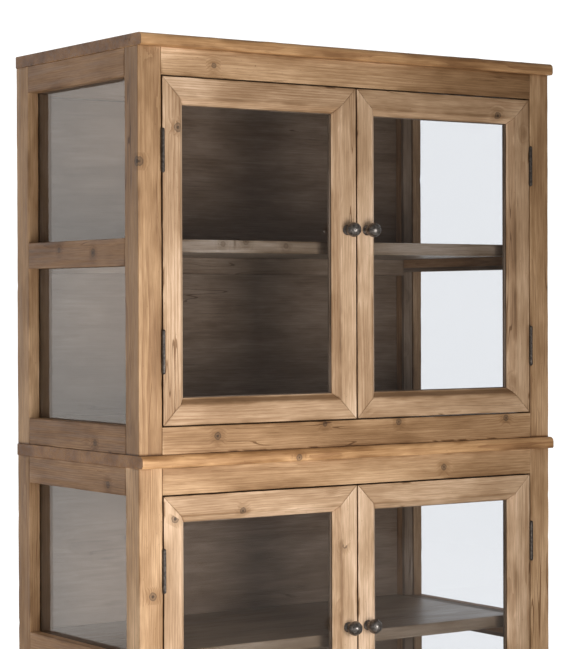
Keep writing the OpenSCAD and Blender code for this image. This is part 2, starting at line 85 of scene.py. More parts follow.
def placement(x_axis, y_axis, z_axis, place):
    """The matrix that puts an object at place, with its own axes along these directions."""
    rows = np.eye(4)
    rows[:3] = np.column_stack([x_axis, y_axis, z_axis, place])
    return Matrix(rows.tolist())


forward = np.array([math.sin(TURN) * math.cos(TILT), math.cos(TURN) * math.cos(TILT),
                    math.sin(TILT)])
level_right = np.array([math.cos(TURN), -math.sin(TURN), 0.0])
level_up = np.cross(level_right, forward)
right = level_right * math.cos(ROLL) + level_up * math.sin(ROLL)
up = level_up * math.cos(ROLL) - level_right * math.sin(ROLL)

camera_data = bpy.data.cameras.new("camera")
camera_data.lens = LENS_MM
camera_data.sensor_width = SENSOR_MM
camera_data.dof.use_dof = False
camera = bpy.data.objects.new("camera", camera_data)
bpy.context.scene.collection.objects.link(camera)
camera.matrix_world = placement(right, up, -forward, CAMERA_AT)
bpy.context.scene.camera = camera
print("the camera looks along", forward.round(3))

# %% [markdown]
# ## Light, surroundings and floor
#
# One large soft lamp stands in front of the doors and a weak one low on the left, in a white
# room that is bright behind the piece and darker behind the lamp. The dark side matters: a pane
# mirrors what is in front of it, and a white wall there would hide the inside of the cabinet.
# The room is a world shader that brightens with the direction's y, and a little more to the
# back left, where the side panes pick up their pale sheen.


# %% Helpers for node trees
def add_node(tree, kind, inputs=None, **settings):
    """A node of this kind, with its settings, and its inputs either linked or set."""
    node = tree.nodes.new(kind)
    for key, value in settings.items():
        setattr(node, key, value)
    for key, value in (inputs or {}).items():
        if isinstance(value, bpy.types.NodeSocket):
            tree.links.new(value, node.inputs[key])
        else:
            node.inputs[key].default_value = value
    return node


def calc(tree, operation, *values):
    """The output of a Math node."""
    node = add_node(tree, "ShaderNodeMath", dict(enumerate(values)), operation=operation)
    return node.outputs[0]


def scaled(tree, vector, by):
    """A vector times another, part by part."""
    node = add_node(tree, "ShaderNodeVectorMath", {0: vector, 1: by}, operation="MULTIPLY")
    return node.outputs[0]


def spread(tree, value, low, high, to_low=0.0, to_high=1.0):
    """value, smoothly taken from low..high to to_low..to_high and held at its ends."""
    inputs = {"Value": value, "From Min": low, "From Max": high, "To Min": to_low,
              "To Max": to_high}
    return add_node(tree, "ShaderNodeMapRange", inputs, interpolation_type="SMOOTHSTEP").outputs[0]


def blend(tree, share, first, second, how="MIX"):
    """Two colours mixed by share, or first multiplied and so on by second."""
    first, second = (c if isinstance(c, bpy.types.NodeSocket) else (*c, 1.0)[:4]
                     for c in (first, second))
    return add_node(tree, "ShaderNodeMix", {0: share, 6: first, 7: second}, data_type="RGBA",
                    blend_type=how).outputs[2]


def noise(tree, vector, scale, detail=2.0, roughness=0.5):
    """A noise texture's value, around 0.5."""
    inputs = {"Vector": vector, "Scale": scale, "Detail": detail, "Roughness": roughness}
    return add_node(tree, "ShaderNodeTexNoise", inputs).outputs[0]


def field(tree, name, output="Fac"):
    """The value, or with "Vector" the vector, that a mesh carries on its points by this name."""
    return add_node(tree, "ShaderNodeAttribute", attribute_name=name).outputs[output]


def empty_material(name):
    """A new material with only an output node: (material, tree, output)."""
    material = bpy.data.materials.new(name)
    material.use_nodes = True
    tree = material.node_tree
    tree.nodes.clear()
    return material, tree, tree.nodes.new("ShaderNodeOutputMaterial")


# %% Light the room
ROOM_FRONT, ROOM_BACK = 0.27, 0.42
BACKDROP = (0.565, 0.825, 0.0)      # what the camera looks towards
WINDOW = (-0.565, 0.825, 0.0)       # what the side panes mirror
DARK = (0.565, -0.825, 0.0)         # what the door panes mirror
BACKDROP_GAIN, WINDOW_GAIN, DARK_LOSS = 0.75, 1.05, 0.13
KEY_AT = (-0.56, -2.74, 0.80)
KEY_AIM = (-1.17, -0.27, 0.84)      # past the left edge, so that the right side is darker
KEY_SIZE, KEY_POWER = 1.15, 27.0
LOW_AT = (-2.7, -0.7, 0.20)
LOW_AIM = (-0.6, 0.0, 0.55)
LOW_SIZE, LOW_POWER = 0.9, 2.8
SPREAD = 105.0                      # degrees

world = bpy.data.worlds.new("room")
world.use_nodes = True
sky = world.node_tree
sky.nodes.clear()
look = add_node(sky, "ShaderNodeTexCoord").outputs["Generated"]


def towards(place, wide, narrow, gain):
    """gain where a direction is near this one, fading out with the cosine between them."""
    cosine = add_node(sky, "ShaderNodeVectorMath", {0: look, 1: place}, operation="DOT_PRODUCT")
    return spread(sky, cosine.outputs["Value"], wide, narrow, 0.0, gain)


deep = add_node(sky, "ShaderNodeSeparateXYZ", {0: look}).outputs["Y"]
brightness = spread(sky, deep, -0.6, 0.3, ROOM_FRONT, ROOM_BACK)
brightness = calc(sky, "ADD", brightness, towards(BACKDROP, 0.72, 0.93, BACKDROP_GAIN))
brightness = calc(sky, "ADD", brightness, towards(WINDOW, 0.75, 0.93, WINDOW_GAIN))
brightness = calc(sky, "SUBTRACT", brightness, towards(DARK, 0.85, 0.97, DARK_LOSS))
room = add_node(sky, "ShaderNodeBackground",
                {"Color": (1.0, 1.0, 1.0, 1.0), "Strength": brightness})
sky.links.new(room.outputs[0], sky.nodes.new("ShaderNodeOutputWorld").inputs[0])
bpy.context.scene.world = world
bpy.context.scene.view_settings.view_transform = "Standard"


def lamp(name, place, size, power, aim):
    """A square area lamp at place, turned so that its -Z points at aim."""
    data = bpy.data.lights.new(name, "AREA")
    data.size, data.energy = size, power
    data.spread = math.radians(SPREAD)
    light = bpy.data.objects.new(name, data)
    bpy.context.scene.collection.objects.link(light)
    away = np.array(place) - np.array(aim)
    away /= np.linalg.norm(away)
    side = np.cross((0.0, 0.0, 1.0), away)
    side /= np.linalg.norm(side)
    light.matrix_world = placement(side, np.cross(away, side), away, place)
    light.visible_camera = False


lamp("key_lamp", KEY_AT, KEY_SIZE, KEY_POWER, KEY_AIM)
lamp("low_lamp", LOW_AT, LOW_SIZE, LOW_POWER, LOW_AIM)


# %% Lay the floor
def put_mesh(name, points, loops, totals, fields=None):
    """A mesh object from points (n, 3), the corners of every face in one list, and how many
    corners each face has. fields are named values on the points. A normal is the sum of the
    faces' area vectors round a point, so a wide face stays flat up to its edge."""
    mesh = bpy.data.meshes.new(name)
    loops, totals = np.asarray(loops, np.int32), np.asarray(totals, np.int32)
    starts = np.concatenate([[0], np.cumsum(totals)[:-1]]).astype(np.int32)
    following = np.arange(len(loops)) + 1
    following[starts + totals - 1] = starts
    area = np.cross(points[loops], points[loops[following]])
    area = np.add.reduceat(area, starts, axis=0)
    normals = np.zeros_like(points)
    np.add.at(normals, loops, np.repeat(area, totals, axis=0))
    mesh.vertices.add(len(points))
    mesh.vertices.foreach_set("co", points.astype(np.float32).ravel())
    mesh.loops.add(len(loops))
    mesh.loops.foreach_set("vertex_index", loops)
    mesh.polygons.add(len(totals))
    mesh.polygons.foreach_set("loop_start", starts)
    mesh.polygons.foreach_set("use_smooth", np.ones(len(totals), bool))
    mesh.update(calc_edges=True)
    for field, values in (fields or {}).items():
        kind, part = ("FLOAT_VECTOR", "vector") if values.ndim == 2 else ("FLOAT", "value")
        store = mesh.attributes.new(field, kind, "POINT").data
        store.foreach_set(part, values.astype(np.float32).ravel())
    normals /= np.maximum(np.linalg.norm(normals, axis=1), 1e-12)[:, None]
    mesh.normals_split_custom_set_from_vertices(normals.tolist())
    made = bpy.data.objects.new(name, mesh)
    bpy.context.scene.collection.objects.link(made)
    return made


def joined(shapes):
    """Several shapes, each (points, loops, totals), as one."""
    shift = np.cumsum([0] + [len(points) for points, _, _ in shapes])[:-1]
    return (np.concatenate([points for points, _, _ in shapes]),
            np.concatenate([loops + k for (_, loops, _), k in zip(shapes, shift)]),
            np.concatenate([totals for _, _, totals in shapes]))


def skin(rings, around):
    """The faces of a tube of rings with this many points around, closed at both ends: every
    corner in one list, and how many corners each face has."""
    ring, step = np.meshgrid(np.arange(rings - 1), np.arange(around), indexing="ij")
    after = (step + 1) % around
    sides = np.stack([ring * around + step, ring * around + after,
                      (ring + 1) * around + after, (ring + 1) * around + step], axis=-1)
    end = np.arange(around)
    loops = np.concatenate([sides.reshape(-1), end[::-1], (rings - 1) * around + end])
    return loops, np.concatenate([np.full((rings - 1) * around, 4), [around, around]])


FLOOR_RADIUS, FLOOR_FADE, RIM_POINTS = 7.9, 1.5, 96
angles = np.linspace(0, 2 * math.pi, RIM_POINTS, endpoint=False)
rim = np.stack([CAMERA_AT[0] + FLOOR_RADIUS * np.cos(angles),
                CAMERA_AT[1] + FLOOR_RADIUS * np.sin(angles), 0 * angles], axis=1)
floor = put_mesh("floor", rim, np.arange(RIM_POINTS), [RIM_POINTS])
floor_paint, tree, out = empty_material("floor_paint")
where = add_node(tree, "ShaderNodeTexCoord").outputs["Object"]
pale = blend(tree, noise(tree, where, 1.3), (0.80, 0.80, 0.79), (0.86, 0.86, 0.85))
paint = add_node(tree, "ShaderNodeBsdfPrincipled", {"Base Color": pale, "Roughness": 0.7})
foot = (CAMERA_AT[0], CAMERA_AT[1], 0.0)
reach = add_node(tree, "ShaderNodeVectorMath", {0: where, 1: foot}, operation="DISTANCE")
fading = spread(tree, reach.outputs["Value"], FLOOR_RADIUS - FLOOR_FADE, FLOOR_RADIUS - 0.05)
nothing = add_node(tree, "ShaderNodeBsdfTransparent")
soft_rim = add_node(tree, "ShaderNodeMixShader", {0: fading, 1: paint.outputs[0],
                                                  2: nothing.outputs[0]})
tree.links.new(soft_rim.outputs[0], out.inputs[0])
floor.data.materials.append(floor_paint)
print("floor radius, in metres:", FLOOR_RADIUS)

# %% [markdown]
# ## The pine
#
# Reclaimed pine has year rings with one sharp, dark side, long fibres, brown knots that the
# rings bend round, hairline cracks and stains. An image of that would repeat on every board.
# Here each board carries *wood coordinates* as a field on its points: metres along the grain,
# and two distances from the heart of its tree. The rings are circles round that heart, so the
# pattern runs on correctly from one face to the next.
#
# More fields go with it: `tone`, how light this board is against its neighbours, which also
# carries painted light and shade, `edge`, which is 1 along the worn edges and 0 a few millimetres
# in, and `knot` and `knot_size`, the middle and radius of the nearest of the larger knots.

# %% Mix the pine
RING_SCALE = 62.0       # rings 5 mm apart
KNOT_CELL = 0.10        # a third of the cubes of this side have a small knot
SMALL_KNOT = 0.0042
KNOT_HALO = 0.022       # how far round a knot the rings bend and the wood is darker
KNOT_BROWN, PITCH_BLACK = (0.20, 0.125, 0.075), (0.045, 0.025, 0.014)
CRACK_DEPTH = 0.0012


def along_grain(tree, grain, along, across, detail=2.0, roughness=0.5):
    """Noise in wood coordinates, with this many bumps a metre along the grain and across it."""
    return noise(tree, scaled(tree, grain, (along, across, across)), 1.0, detail, roughness)


def product(tree, first, *others):
    """Several values times one another."""
    for other in others:
        first = calc(tree, "MULTIPLY", first, other)
    return first


def from_nearest_knot(tree, grain):
    """How far a place lies outside its nearest knot: a small one, which a third of the cubes
    have, or a larger one from the fields. A wobble bends its rim."""
    cells = add_node(tree, "ShaderNodeTexVoronoi",
                     {"Vector": scaled(tree, grain, (0.72, 1.0, 1.0)), "Scale": 1 / KNOT_CELL})
    small = calc(tree, "MULTIPLY", cells.outputs["Distance"], KNOT_CELL)
    kind = add_node(tree, "ShaderNodeSeparateColor", {0: cells.outputs["Color"]}).outputs[0]
    none_here = spread(tree, kind, 0.30, 0.34, 0.0, 1.0)
    small = calc(tree, "SUBTRACT", calc(tree, "ADD", small, none_here), SMALL_KNOT)
    place = add_node(tree, "ShaderNodeTexCoord").outputs["Object"]
    heart = field(tree, "knot", "Vector")
    apart = add_node(tree, "ShaderNodeVectorMath", {0: place, 1: heart}, operation="DISTANCE")
    large = calc(tree, "SUBTRACT", apart.outputs["Value"], field(tree, "knot_size"))
    wobble = calc(tree, "SUBTRACT", noise(tree, place, 190.0), 0.5)
    return calc(tree, "ADD", calc(tree, "MINIMUM", small, large),
                calc(tree, "MULTIPLY", wobble, 0.004))


def pine(name, light, dark, knot=KNOT_BROWN, ring_share=0.8, stain=0.65, sheen=0.42,
         rough=0.56, flank_shade=1.0):
    """Pine with light early wood and dark late wood, mixed by the ring's saw-tooth, with knots
    over it, times a shade of fibres, streaks, stains, cracks, dirt and the board's tone, which
    also carries painted light and shade. Green and blue fall faster than red as the wood darkens,
    so dark wood is warmer. The flank factor is painted shade on the faces that look along x."""
    material, tree, out = empty_material(name)
    grain = field(tree, "grain", "Vector")
    edge = field(tree, "edge")
    outside = from_nearest_knot(tree, grain)
    in_knot = spread(tree, outside, 0.0012, -0.0012)
    rim_of_knot = calc(tree, "MULTIPLY", in_knot, spread(tree, outside, -0.0030, -0.0010))
    pith = spread(tree, outside, -0.0050, -0.0068)
    near_knot = spread(tree, outside, KNOT_HALO, 0.0)

    rings = add_node(tree, "ShaderNodeTexWave",
                     {"Vector": scaled(tree, grain, (0.085, 1.0, 1.0)), "Scale": RING_SCALE,
                      "Distortion": 15.0, "Detail": 2.5, "Detail Scale": 0.3,
                      "Detail Roughness": 0.55,
                      "Phase Offset": calc(tree, "MULTIPLY", near_knot, 9.0)},
                     wave_type="RINGS", rings_direction="X", wave_profile="SAW").outputs["Fac"]
    fade = spread(tree, along_grain(tree, grain, 1.2, 9.0), 0.35, 0.65, 0.35, 1.0)
    late = calc(tree, "MULTIPLY", calc(tree, "POWER", rings, 1.8), fade)
    fibres = along_grain(tree, grain, 26.0, 620.0, 3.0, 0.6)
    streaks = along_grain(tree, grain, 5.0, 130.0)
    lines = along_grain(tree, grain, 9.0, 290.0, 2.0, 0.6)
    patches = along_grain(tree, grain, 4.5, 15.0, 3.0, 0.6)
    mottle = along_grain(tree, grain, 2.0, 6.0, 3.0, 0.55)
    specks = spread(tree, along_grain(tree, grain, 130.0, 420.0, 1.0), 0.74, 0.80)
    contour = calc(tree, "SUBTRACT", along_grain(tree, grain, 2.6, 42.0, 1.0), 0.5)
    cracked = spread(tree, along_grain(tree, grain, 3.4, 11.0, 1.0), 0.60, 0.66)
    crack = calc(tree, "MULTIPLY", spread(tree, calc(tree, "ABSOLUTE", contour), 0.012, 0.004),
                 cracked)
    grime = calc(tree, "MULTIPLY", edge, spread(tree, patches, 0.35, 0.62, 0.34, -0.10))
    # painted shade: the faces that look along x, the flanks, are darkened by the flank factor
    looks_along = add_node(tree, "ShaderNodeSeparateXYZ",
                           {0: add_node(tree, "ShaderNodeTexCoord").outputs["Normal"]})
    sideways = calc(tree, "ABSOLUTE", looks_along.outputs["X"])

    shade = product(tree, spread(tree, fibres, 0.3, 0.7, 0.88, 1.1),
                    spread(tree, streaks, 0.3, 0.72, 0.90, 1.06),
                    spread(tree, lines, 0.32, 0.62, 0.91, 1.04),
                    spread(tree, patches, 0.3, 0.68, 1 - 0.42 * stain, 1.08),
                    spread(tree, mottle, 0.32, 0.68, 0.84, 1.12),
                    spread(tree, crack, 0.0, 1.0, 1.0, 0.45),
                    spread(tree, specks, 0.0, 1.0, 1.0, 0.55),
                    calc(tree, "SUBTRACT", 1.0, grime),
                    spread(tree, near_knot, 0.0, 1.0, 1.0, 0.80),
                    field(tree, "tone"),
                    spread(tree, sideways, 0.5, 0.9, 1.0, flank_shade))
    clear_rings = calc(tree, "MULTIPLY", late,
                       spread(tree, edge, 0.0, 1.0, ring_share, 0.4 * ring_share))
    colour = blend(tree, clear_rings, light, dark)
    colour = blend(tree, calc(tree, "MULTIPLY", in_knot, 0.62), colour, knot)
    dark_part = calc(tree, "MAXIMUM", calc(tree, "MULTIPLY", rim_of_knot, 0.55), pith)
    colour = blend(tree, calc(tree, "MULTIPLY", dark_part, 0.75), colour, PITCH_BLACK)
    warm = {0: shade, 1: calc(tree, "POWER", shade, 1.22), 2: calc(tree, "POWER", shade, 1.55)}
    tint = add_node(tree, "ShaderNodeCombineXYZ", warm).outputs[0]
    colour = blend(tree, 1.0, colour, tint, "MULTIPLY")

    height = calc(tree, "ADD", calc(tree, "MULTIPLY", fibres, 0.5),
                  calc(tree, "MULTIPLY", late, 0.35))
    height = calc(tree, "ADD", height, calc(tree, "MULTIPLY", patches, 0.15))
    height = calc(tree, "SUBTRACT", height, crack)
    bump = add_node(tree, "ShaderNodeBump",
                    {"Strength": 0.45, "Distance": CRACK_DEPTH, "Height": height})
    gloss = spread(tree, streaks, 0.25, 0.75, rough - 0.09, rough + 0.12)
    wood = add_node(tree, "ShaderNodeBsdfPrincipled",
                    {"Base Color": colour, "Roughness": gloss, "Specular IOR Level": sheen,
                     "Normal": bump.outputs[0]})
    tree.links.new(wood.outputs[0], out.inputs[0])
    return material


finish = {
    "pine_carcass": pine("waxed_pine_carcass", (0.56, 0.348, 0.188), (0.33, 0.176, 0.082),
                         flank_shade=0.74, sheen=0.36),
    "pine_board": pine("waxed_pine_board", (0.57, 0.318, 0.142), (0.34, 0.162, 0.066),
                       flank_shade=0.78),
    "pine_door": pine("waxed_pine_door", (0.585, 0.388, 0.238), (0.37, 0.203, 0.098)),
    "pine_side": pine("waxed_pine_side", (0.49, 0.292, 0.158), (0.27, 0.142, 0.070),
                      flank_shade=0.84, sheen=0.30),
    "pine_shelf": pine("greyed_pine_shelf", (0.34, 0.255, 0.185), (0.22, 0.155, 0.108),
                       ring_share=0.5, sheen=0.5, rough=0.36),
    "pine_inside": pine("stained_pine_inside", (0.24, 0.165, 0.110), (0.13, 0.085, 0.055),
                        (0.05, 0.03, 0.02), ring_share=0.6),
    "back_panel": pine("stained_back_panel", (0.215, 0.146, 0.098), (0.14, 0.091, 0.058),
                       (0.07, 0.05, 0.035), ring_share=0.4, stain=0.75, sheen=0.5, rough=0.40),
}
print("woods:", sorted(finish))

# %% [markdown]
# ## Boards as profiles carried along a line
#
# Every wooden piece is a section carried along its grain: a polygon whose corners are rounded by
# arcs. Old boards are worn and chipped along their edges, so each corner's radius varies along
# the length. A Bevel modifier could round the edges too, but it would round them all alike.
#
# The steps cut for panes and panels belong to the section, so the same function makes a plain
# rail, a rebated post and the moulded stick of a door.

# %% Carry a section along a board
chance = np.random.default_rng(41)
AXES = ((1, 2), (2, 0), (0, 1))     # the section's two axes, for a board along x, y or z
ARC_STEPS = 4
GUARD = 0.005                       # from the end of an arc to where `edge` is 0 again
END_ROUND = 0.0008
END_EDGE, END_TONE = 0.3, 0.62      # sawn ends are less grimy but take up more wax
STATION = 0.013                     # between two sections
STOP_GAP = 0.0001                   # a step in a section is spread over twice this length
GLUE_LINE = 0.00012                 # what a mitred end stays short by
KNOT_REACH = 0.03                   # how far along the board a knot's place is written


def uneven(along, corners):
    """How worn each corner is at each place, one row per place and one column per corner: 1
    plus three sine waves, and a few dents of 4 to 9 mm, each a bell curve."""
    phase = chance.uniform(0, 2 * math.pi, (3, corners))
    worn = 1.0 + sum(size * np.sin(2 * math.pi * rate * along[:, None] + phase[i])
                     for i, (rate, size) in enumerate(((1.7, 0.22), (5.3, 0.18), (13.0, 0.16))))
    for corner in range(corners):
        for _ in range(chance.integers(1, 5)):
            at, wide = chance.uniform(along[0], along[-1]), chance.uniform(0.004, 0.009)
            deep = chance.uniform(0.3, 1.5)
            worn[:, corner] += deep * np.exp(-(((along - at) / wide) ** 2))
    return worn


def rounded(corners, radii):
    """Polygons (places, corners, 2) with their corners rounded. The arc at corner p runs from
    p + r a to p + r b, a and b being the directions to its neighbours, as the rational curve
    ((1-u)^2 P + sqrt(2) u (1-u) p + u^2 Q) / ((1-u)^2 + sqrt(2) u (1-u) + u^2), which is a true
    quarter circle on a square corner. One more point stands on each side of it.
    Gives the loops, and 1 on the arcs' points and 0 on the others."""
    to_last = np.roll(corners, 1, axis=1) - corners
    to_next = np.roll(corners, -1, axis=1) - corners
    last_l = np.linalg.norm(to_last, axis=2, keepdims=True)
    next_l = np.linalg.norm(to_next, axis=2, keepdims=True)
    a, b = to_last / last_l, to_next / next_l
    r = np.minimum(radii[..., None], 0.4 * np.minimum(last_l, next_l))
    u = np.linspace(0, 1, ARC_STEPS)[None, None, :, None]
    weights = (1 - u) ** 2, math.sqrt(2) * u * (1 - u), u ** 2
    ends = (corners + a * r)[:, :, None], corners[:, :, None], (corners + b * r)[:, :, None]
    arc = sum(w * e for w, e in zip(weights, ends)) / sum(weights)
    before = corners + a * np.minimum(r + GUARD, 0.45 * last_l)
    after = corners + b * np.minimum(r + GUARD, 0.45 * next_l)
    loops = np.concatenate([before[:, :, None], arc, after[:, :, None]], axis=2)
    edge = np.zeros(loops.shape[:3])
    edge[:, :, 1:-1] = 1.0
    return loops.reshape(len(loops), -1, 2), edge.reshape(len(loops), -1)


def notched(a0, a1, b0, b1, cuts=None):
    """Corners of a rectangle, anticlockwise, with a step (along a, along b) cut out of some:
    corner 0 is (a0, b0), 1 is (a1, b0), 2 is (a1, b1) and 3 is (a0, b1)."""
    points = []
    for corner, (a, b, sa, sb) in enumerate(((a0, b0, 1, 1), (a1, b0, -1, 1), (a1, b1, -1, -1),
                                             (a0, b1, 1, -1))):
        if corner not in (cuts or {}):
            points.append((a, b))
            continue
        da, db = cuts[corner]
        step = [(a, b + sb * db), (a + sa * da, b + sb * db), (a + sa * da, b)]
        points += step if corner in (0, 2) else step[::-1]
    return points


def stations(start, length, stops):
    """Places along a board from 0 to 1: about one a STATION, one at each side of every stop, and
    three close together at both ends, for the rounding."""
    s = np.linspace(0, 1, max(5, int(length / STATION)))[1:-1]
    ends = [0, END_ROUND / length, (END_ROUND + GUARD) / length]
    s = s[(s > 1.5 * ends[2]) & (s < 1 - 1.5 * ends[2])]
    marks = [(m - start + d) / length for m in stops for d in (-STOP_GAP, STOP_GAP)]
    s = np.unique(np.concatenate([ends, s, marks, [1 - e for e in ends]]))
    return s[(s >= 0) & (s <= 1)]


def board(axis, low, high, shape=None, radius=0.0014, across=None, stops=(), name="", heart=None,
          straight=False):
    """A board along an axis from low to high, as arrays. shape(along) gives the section's corners
    at each place, or None for the plain rectangle, and stops are the places where it changes.
    radius is one size or one per corner. across turns section points into their distance from
    the outer edge, for ends cut at 45 degrees. The name finds its tones and knots."""
    a_axis, b_axis = AXES[axis]
    start = low[axis]
    length = high[axis] - start
    s = stations(start, length, stops)
    along = start + s * length
    if shape is None:
        shape = constant(notched(low[a_axis], high[a_axis], low[b_axis], high[b_axis]))
    corners = shape(along)
    count = corners.shape[1]
    radii = np.broadcast_to(radius, (count,)) * (1.0 if straight else uneven(along, count))
    rings, edge = rounded(corners, np.broadcast_to(radii, (len(s), count)))
    middle = (rings.min(axis=1, keepdims=True) + rings.max(axis=1, keepdims=True)) / 2
    half = (rings.max(axis=1, keepdims=True) - rings.min(axis=1, keepdims=True)) / 2
    inset = np.zeros((len(s), 1, 1))
    inset[[0, -1]] = END_ROUND
    rings = middle + (rings - middle) * (1 - np.minimum(inset / half, 0.4))
    edge[[0, -1]], edge[[1, -2]] = END_EDGE, 1.0
    around = rings.shape[1]
    slant = np.zeros(rings.shape[:2]) if across is None else across(rings) + GLUE_LINE
    places = start + slant + s[:, None] * (length - 2 * slant)
    points = np.zeros((len(s), around, 3))
    points[..., axis] = places
    points[..., a_axis] = rings[..., 0]
    points[..., b_axis] = rings[..., 1]

    if heart is None:
        turn, far = chance.uniform(0, 2 * math.pi), chance.uniform(0.035, 0.10)
        heart = (far * math.cos(turn), far * math.sin(turn))
    centre = middle.mean(axis=0)[0]
    grain = np.stack([places + chance.uniform(-40, 40), rings[..., 0] - centre[0] + heart[0],
                      rings[..., 1] - centre[1] + heart[1]], axis=-1)
    points = points.reshape(-1, 3)
    knot, knot_size = np.zeros((len(points), 3)), np.full(len(points), -1.0)
    for middle_of_knot, radius_of_knot in KNOTS.get(name, ()):
        near = np.abs(points[:, axis] - middle_of_knot[axis]) < KNOT_REACH
        knot[near], knot_size[near] = middle_of_knot, radius_of_knot
    # partly painted light and shade: a board is made lighter or darker from one end to the other
    first_tone, last_tone = TONES_AND_PAINTED_LIGHT.get(name, (1.0, 1.0))
    tone = first_tone + (last_tone - first_tone) * (points[:, axis] - start) / length
    tone[:around] *= END_TONE
    tone[-around:] *= END_TONE

    loops, totals = skin(len(s), around)
    if np.cross(rings[0], np.roll(rings[0], -1, axis=0)).sum() < 0:
        starts = np.concatenate([[0], np.cumsum(totals)[:-1]])      # clockwise: turn each face
        within = np.arange(len(loops)) - np.repeat(starts, totals)
        loops = loops[np.repeat(starts + totals - 1, totals) - within]
    return {"shape": (points, loops, totals), "grain": grain.reshape(-1, 3),
            "edge": edge.reshape(-1), "knot": knot, "knot_size": knot_size,
            "tone": tone * chance.uniform(0.96, 1.04)}


def constant(points):
    """A section that stays the same along its board."""
    return lambda along: np.tile(np.array(points, float), (len(along), 1, 1))


# %% [markdown]
# ## In place of a CAD node
#
# A new piece rides on the same body as its CAD node, so that it swings with its door. Some nodes
# hold several boards, whose boxes are found from the triangles that share points.

# %% Put pieces in place of CAD nodes
SEAM_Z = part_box("lower_top_board")[1][2]    # where the upper module stands on the lower
SEAM_REACH, SEAM_SHADE = 0.0013, 0.25        # painted shade along that seam, where the modules touch


def body_of_node(node):
    """The CAD body that a node belongs to."""
    return next(b for b, nodes in frame["record"]["behaviour"]["bodies"].items() if node in nodes)


def slot_of_node(node):
    """The material slot that the record gives a node."""
    return next(s["material_slot"] for s in frame["record"]["subparts"] if s["node"] == node)


def in_place_of(node, made, material):
    """A new piece with its material, in place of this CAD node and riding on its body."""
    made.data.materials.append(material)
    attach(made, body_of_node(node))
    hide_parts(node)


def wooden(node, *boards):
    """One piece made of boards, in place of a CAD node."""
    fields = {name: np.concatenate([b[name] for b in boards])
              for name in ("grain", "edge", "tone", "knot", "knot_size")}
    shape = joined([b["shape"] for b in boards])
    # painted shade: the upper module's faces just above the seam are darkened
    if node.startswith("upper"):
        fields["tone"][shape[0][:, 2] < SEAM_Z + SEAM_REACH] *= SEAM_SHADE
    in_place_of(node, put_mesh(node + "_worn", *shape, fields), finish[slot_of_node(node)])


def solid_boxes(node):
    """The box of each separate solid in a CAD node, lowest corners first. Points that share a
    triangle take the lowest label among them, over and over, until nothing changes."""
    mesh = frame["nodes"][node].data
    mesh.calc_loop_triangles()
    points = np.zeros(len(mesh.vertices) * 3, np.float32)
    mesh.vertices.foreach_get("co", points)
    corners = np.zeros(len(mesh.loop_triangles) * 3, np.int32)
    mesh.loop_triangles.foreach_get("vertices", corners)
    points, same = np.unique(points.reshape(-1, 3).round(5), axis=0, return_inverse=True)
    triangles = same.reshape(-1)[corners].reshape(-1, 3)
    label = np.arange(len(points))
    while True:
        lowest = label.copy()
        np.minimum.at(lowest, triangles.ravel(), np.repeat(label[triangles].min(axis=1), 3))
        lowest = lowest[lowest]
        if (lowest == label).all():
            break
        label = lowest
    boxes = [(points[label == k].min(0).astype(float), points[label == k].max(0).astype(float))
             for k in np.unique(label)]
    return sorted(boxes, key=lambda box: tuple(box[0].round(4)))


def box_arrays(node):
    low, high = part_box(node)
    return np.array(low), np.array(high)


print("boxes of the lower side rails:", len(solid_boxes("lower_side_rails")))

# %% [markdown]
# ## Each board's tone, partly painted light, and its knots
#
# No two boards of an old floor have the same colour, and few are even from end to end. So the
# boards that show have tones of their own. Random tones would be less work, but then light and
# dark boards would fall anywhere. The tones are also partly painted light and shade: a board is
# made lighter or darker where the lamps leave it too dark or too bright.

# %% Choose the tones and the larger knots
TONES_AND_PAINTED_LIGHT = {       # partly painted light and shade: at the left, lower or front end, and at the other end
    "upper_front_top_rail": (1.55, 0.52), "upper_front_bottom_rail": (0.84, 0.75),
    "upper_post_front_left": (0.80, 0.96), "upper_post_front_right": (0.93, 0.87),
    "upper_post_rear_left": (1.05, 0.95), "upper_side_rails_left_top": (0.98, 0.90),
    "upper_side_rails_left_mid": (0.74, 0.74), "upper_side_rails_left_bottom": (0.74, 0.74),
    "upper_top_board": (0.98, 0.80), "upper_shelf": (1.14, 1.04),
    "upper_left_door_top": (1.12, 0.97), "upper_left_door_left": (1.1, 1.16),
    "upper_left_door_right": (1.36, 0.96), "upper_right_door_left": (1.28, 1.12),
    "upper_right_door_right": (1.10, 0.92),
    "lower_front_top_rail": (1.06, 0.98), "lower_post_front_left": (1.1, 1.08),
    "lower_post_front_right": (1.15, 1.1), "lower_top_board": (1.12, 1.0),
    "lower_shelf": (0.72, 1.06), "lower_back_panels": (1.2, 1.05),
    "lower_left_door_top": (1.08, 1.05), "lower_left_door_left": (1.04, 1.04),
    "lower_left_door_right": (1.50, 1.36), "lower_right_door_top": (1.1, 1.0),
    "lower_right_door_left": (1.50, 1.40), "lower_right_door_right": (1.25, 1.15),
}
FLANK_LIGHT_AND_SHADE = {     # painted light and shade on a post's outer flank against its front, at the foot and at the head
    "lower_post_front_left": (1.35, 1.32), "upper_post_front_left": (1.22, 0.98),
    "lower_post_rear_left": (1.1, 1.1),
}
